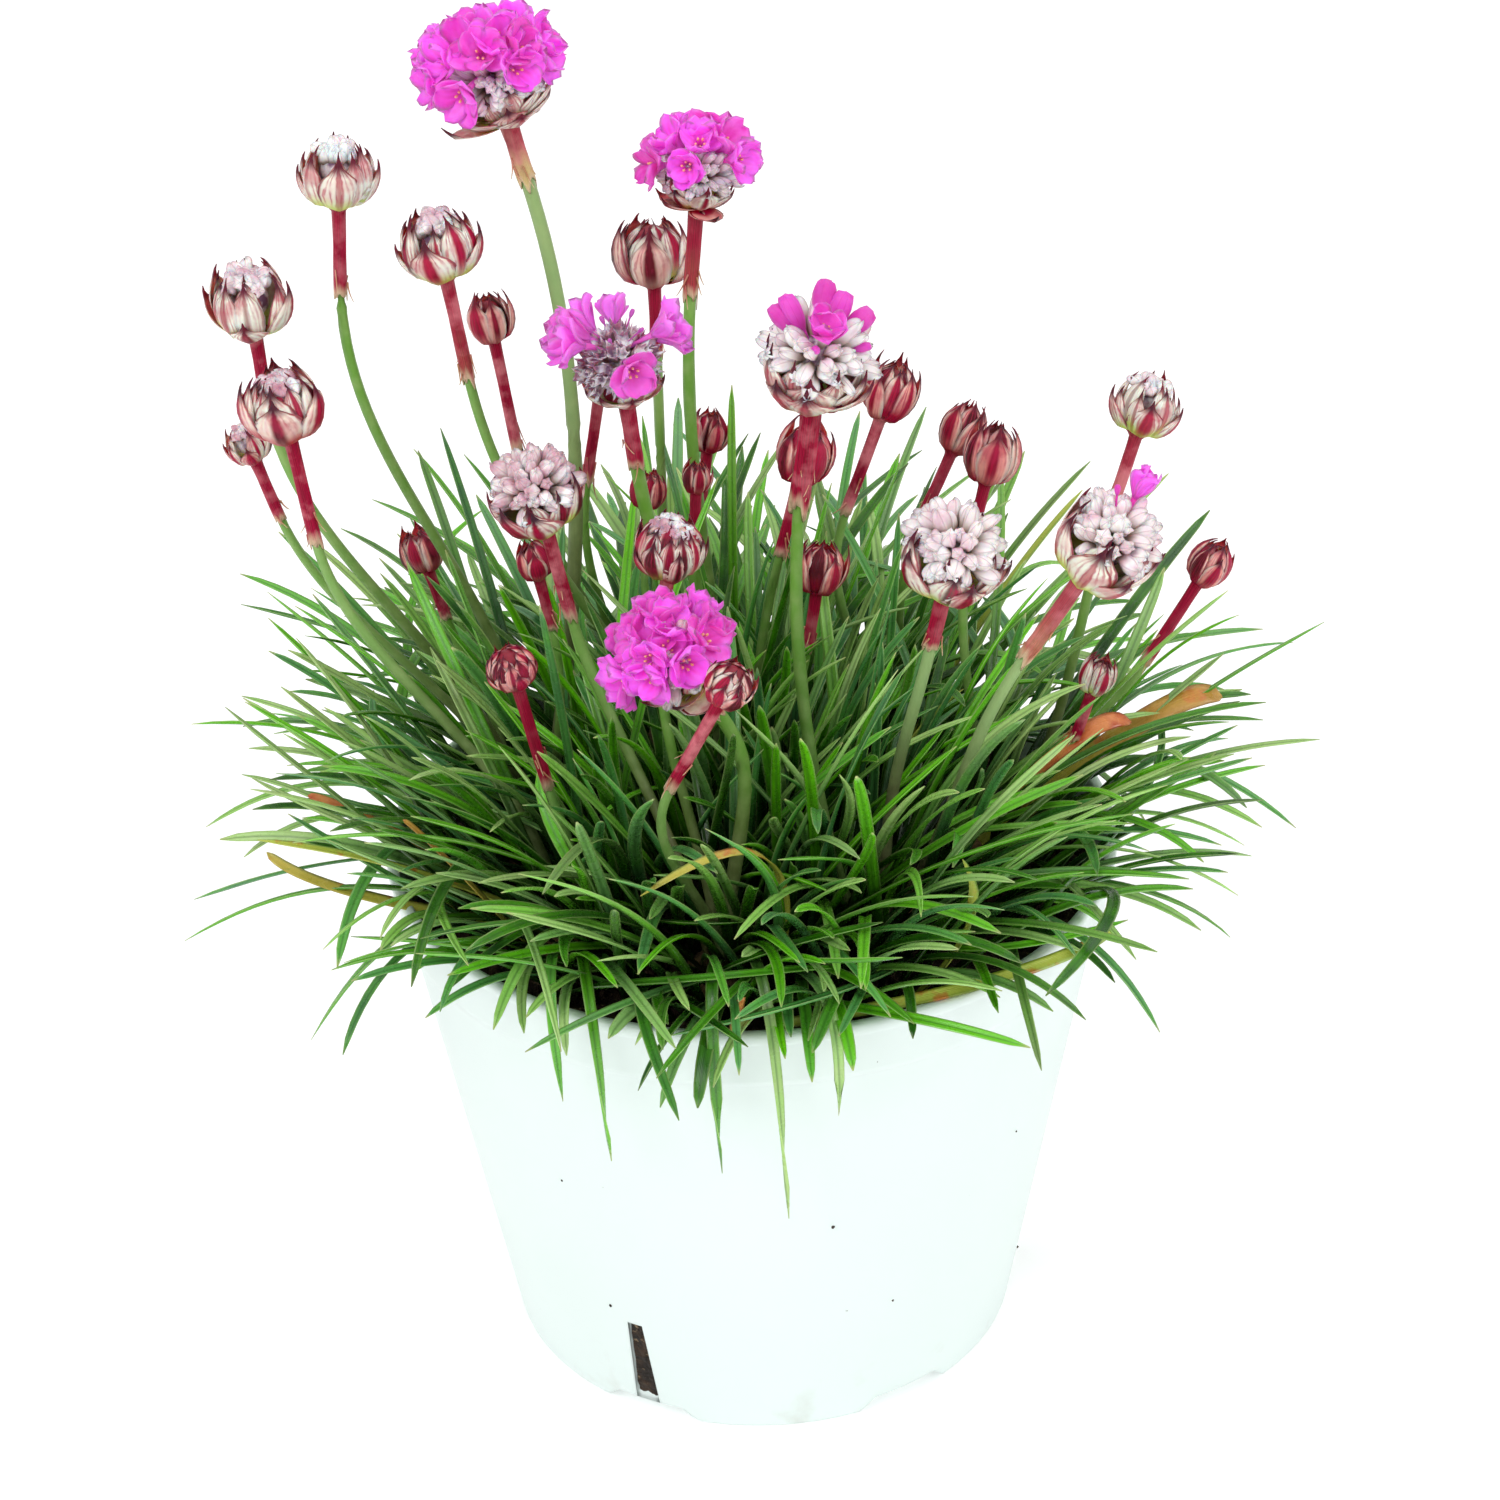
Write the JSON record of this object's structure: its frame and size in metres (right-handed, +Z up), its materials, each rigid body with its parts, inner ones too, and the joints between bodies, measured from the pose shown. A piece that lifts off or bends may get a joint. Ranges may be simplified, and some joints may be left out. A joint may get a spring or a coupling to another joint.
{
  "type": "potted broadleaf thrift",
  "caption": "A clump of flowering thrift in a tapered round nursery pot, with narrow leaves over the rim and magenta heads on slender stalks.",
  "frame": {"origin": "middle of the pot's underside", "axes": "+Z up, -Y towards the side the picture was taken from, +X to the right in the picture"},
  "size_m": [0.1853, 0.1751, 0.2302],
  "materials": {
    "pot_plastic": "satin",
    "soil": "matte",
    "foliage": "satin",
    "bracts": "matte",
    "calyces": "matte",
    "petals": "matte"
  },
  "bodies": {
    "root": {"pot": "pot_plastic", "soil": "soil", "tuft_middle": "foliage", "tuft_front": "foliage", "tuft_front_right": "foliage", "tuft_right": "foliage", "tuft_back_right": "foliage", "tuft_back_left": "foliage", "tuft_left": "foliage", "tuft_front_left": "foliage", "head_01": "bracts", "calyces_01": "calyces", "corollas_01": "petals", "head_02": "bracts", "calyces_02": "calyces", "corollas_02": "petals", "head_03": "bracts", "calyces_03": "calyces", "head_04": "bracts", "calyces_04": "calyces", "head_05": "bracts", "calyces_05": "calyces", "head_06": "bracts", "head_07": "bracts", "head_08": "bracts", "head_09": "bracts", "calyces_09": "calyces", "corollas_09": "petals", "head_10": "bracts", "head_11": "bracts", "calyces_11": "calyces", "corollas_11": "petals", "head_12": "bracts", "head_13": "bracts", "head_14": "bracts", "head_15": "bracts", "head_16": "bracts", "head_17": "bracts", "calyces_17": "calyces", "head_18": "bracts", "calyces_18": "calyces", "corollas_18": "petals", "head_19": "bracts", "calyces_19": "calyces", "head_20": "bracts", "head_21": "bracts", "calyces_21": "calyces", "head_22": "bracts", "calyces_22": "calyces", "head_23": "bracts", "corollas_23": "petals", "head_24": "bracts", "head_25": "bracts", "head_26": "bracts", "head_27": "bracts", "head_28": "bracts", "head_29": "bracts", "head_30": "bracts", "head_31": "bracts", "head_32": "bracts"}
  },
  "joints": []
}
